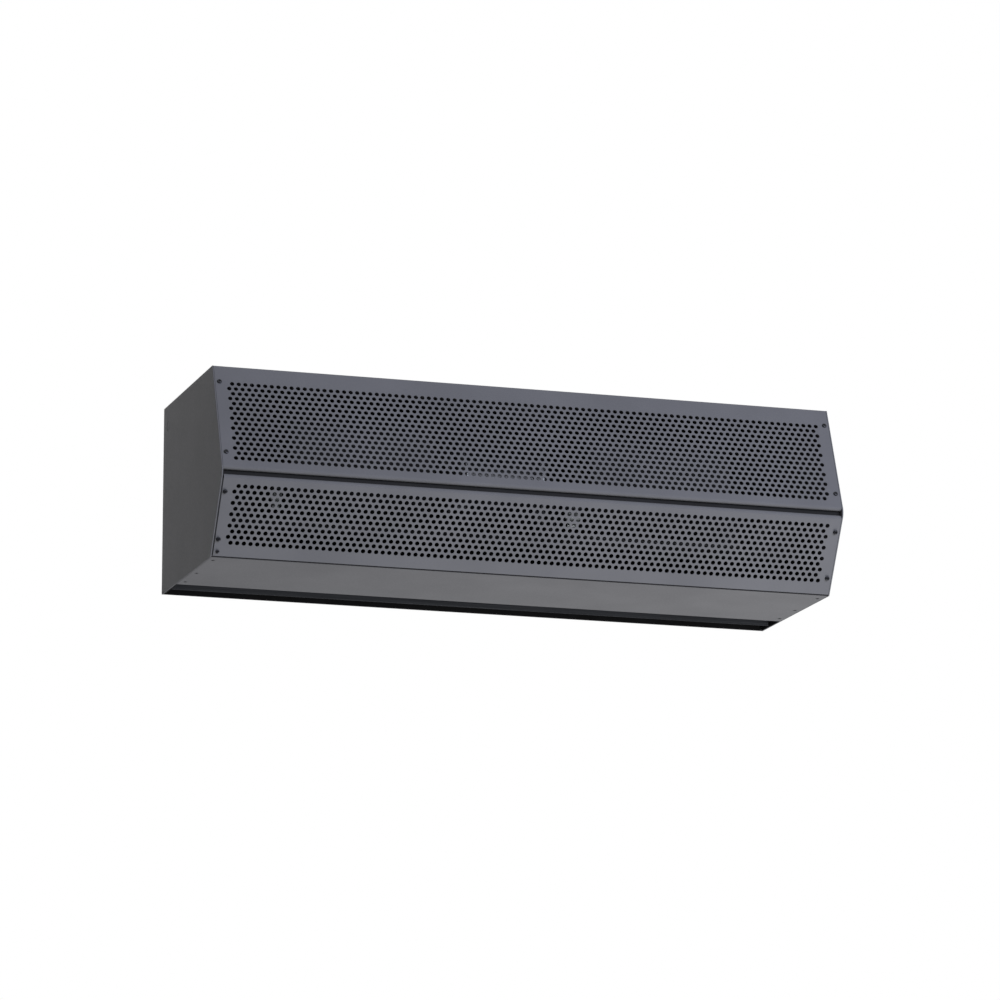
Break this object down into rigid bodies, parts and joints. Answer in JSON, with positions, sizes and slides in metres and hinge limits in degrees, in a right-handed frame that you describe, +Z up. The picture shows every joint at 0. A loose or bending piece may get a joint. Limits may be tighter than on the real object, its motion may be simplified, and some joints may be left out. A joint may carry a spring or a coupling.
{
  "type": "air curtain",
  "caption": "Wall-mounted door air curtain: folded steel casing with a pointed perforated intake front, double-inlet blowers on one motor shaft, and a bottom discharge slot with a tilting vane.",
  "frame": {"origin": "centre of the back plate's outer face, the face that lies against the wall", "axes": "+X to the right along the width for someone facing the front, +Y out of the back into the wall, +Z up"},
  "size_m": [0.9144, 0.337, 0.2726],
  "materials": {
    "powder_coated_casing": "semi-gloss grey powder coat",
    "black_coated_sheet": "matt black coat",
    "galvanised_sheet": "galvanised",
    "dark_anodised_aluminium": "dark anodised",
    "cast_aluminium": "as cast",
    "black_motor_enamel": "satin enamel",
    "machined_steel": "machined",
    "enamelled_copper": "enamelled copper wire",
    "black_rubber": "matt",
    "black_plastic": "moulded, matt",
    "blackened_screw": "black oxide"
  },
  "bodies": {
    "casing": {"right_end_plate": "powder_coated_casing", "left_end_plate": "powder_coated_casing", "top_cover": "powder_coated_casing", "back_plate": "powder_coated_casing", "bottom_plate": "powder_coated_casing", "upper_intake_panel": "powder_coated_casing", "lower_intake_panel": "powder_coated_casing", "nose_rail": "black_coated_sheet", "upper_panel_screw_left_1": "blackened_screw", "upper_panel_screw_left_2": "blackened_screw", "upper_panel_screw_right_1": "blackened_screw", "upper_panel_screw_right_2": "blackened_screw", "lower_panel_screw_left_1": "blackened_screw", "lower_panel_screw_left_2": "blackened_screw", "lower_panel_screw_right_1": "blackened_screw", "lower_panel_screw_right_2": "blackened_screw", "blower_deck": "black_coated_sheet", "nozzle_front_wall": "black_coated_sheet", "nozzle_rear_wall": "black_coated_sheet", "right_pivot_plate": "black_coated_sheet", "left_pivot_plate": "black_coated_sheet", "right_scroll_wrapper": "black_coated_sheet", "left_scroll_wrapper": "black_coated_sheet", "right_housing_inner_side": "black_coated_sheet", "left_housing_inner_side": "black_coated_sheet", "right_housing_outer_side": "black_coated_sheet", "left_housing_outer_side": "black_coated_sheet", "right_inner_inlet_ring": "black_coated_sheet", "left_inner_inlet_ring": "black_coated_sheet", "right_outer_inlet_ring": "black_coated_sheet", "left_outer_inlet_ring": "black_coated_sheet", "motor_shell": "black_motor_enamel", "right_motor_end_bell": "cast_aluminium", "left_motor_end_bell": "cast_aluminium", "right_motor_bearing": "machined_steel", "left_motor_bearing": "machined_steel", "right_isolator_ring": "black_rubber", "left_isolator_ring": "black_rubber", "right_isolator_strap": "galvanised_sheet", "left_isolator_strap": "galvanised_sheet", "motor_cradle": "black_coated_sheet", "stator_core": "machined_steel", "right_stator_winding": "enamelled_copper", "left_stator_winding": "enamelled_copper", "junction_box": "black_coated_sheet", "junction_box_cover": "black_coated_sheet", "terminal_block": "black_plastic", "motor_lead": "black_plastic", "conduit_plug": "black_plastic", "capacitor": "black_plastic", "capacitor_clip": "galvanised_sheet"},
    "blower_rotor": {"motor_shaft": "machined_steel", "rotor_core": "machined_steel", "right_blower_wheel": "galvanised_sheet", "left_blower_wheel": "galvanised_sheet"},
    "vane": {"discharge_vane": "dark_anodised_aluminium", "right_vane_pivot_pin": "machined_steel", "left_vane_pivot_pin": "machined_steel", "right_vane_washer": "black_plastic", "left_vane_washer": "black_plastic"}
  },
  "joints": [
    {"name": "blower_spin", "type": "hinge", "parent": "casing", "child": "blower_rotor", "pos_m": [0, -0.127, 0.018], "axis": [-1, 0, 0], "continuous": true},
    {"name": "vane_tilt", "type": "hinge", "parent": "casing", "child": "vane", "pos_m": [0, -0.038, -0.11545], "axis": [1, 0, 0], "range_deg": [-20, 20]}
  ]
}
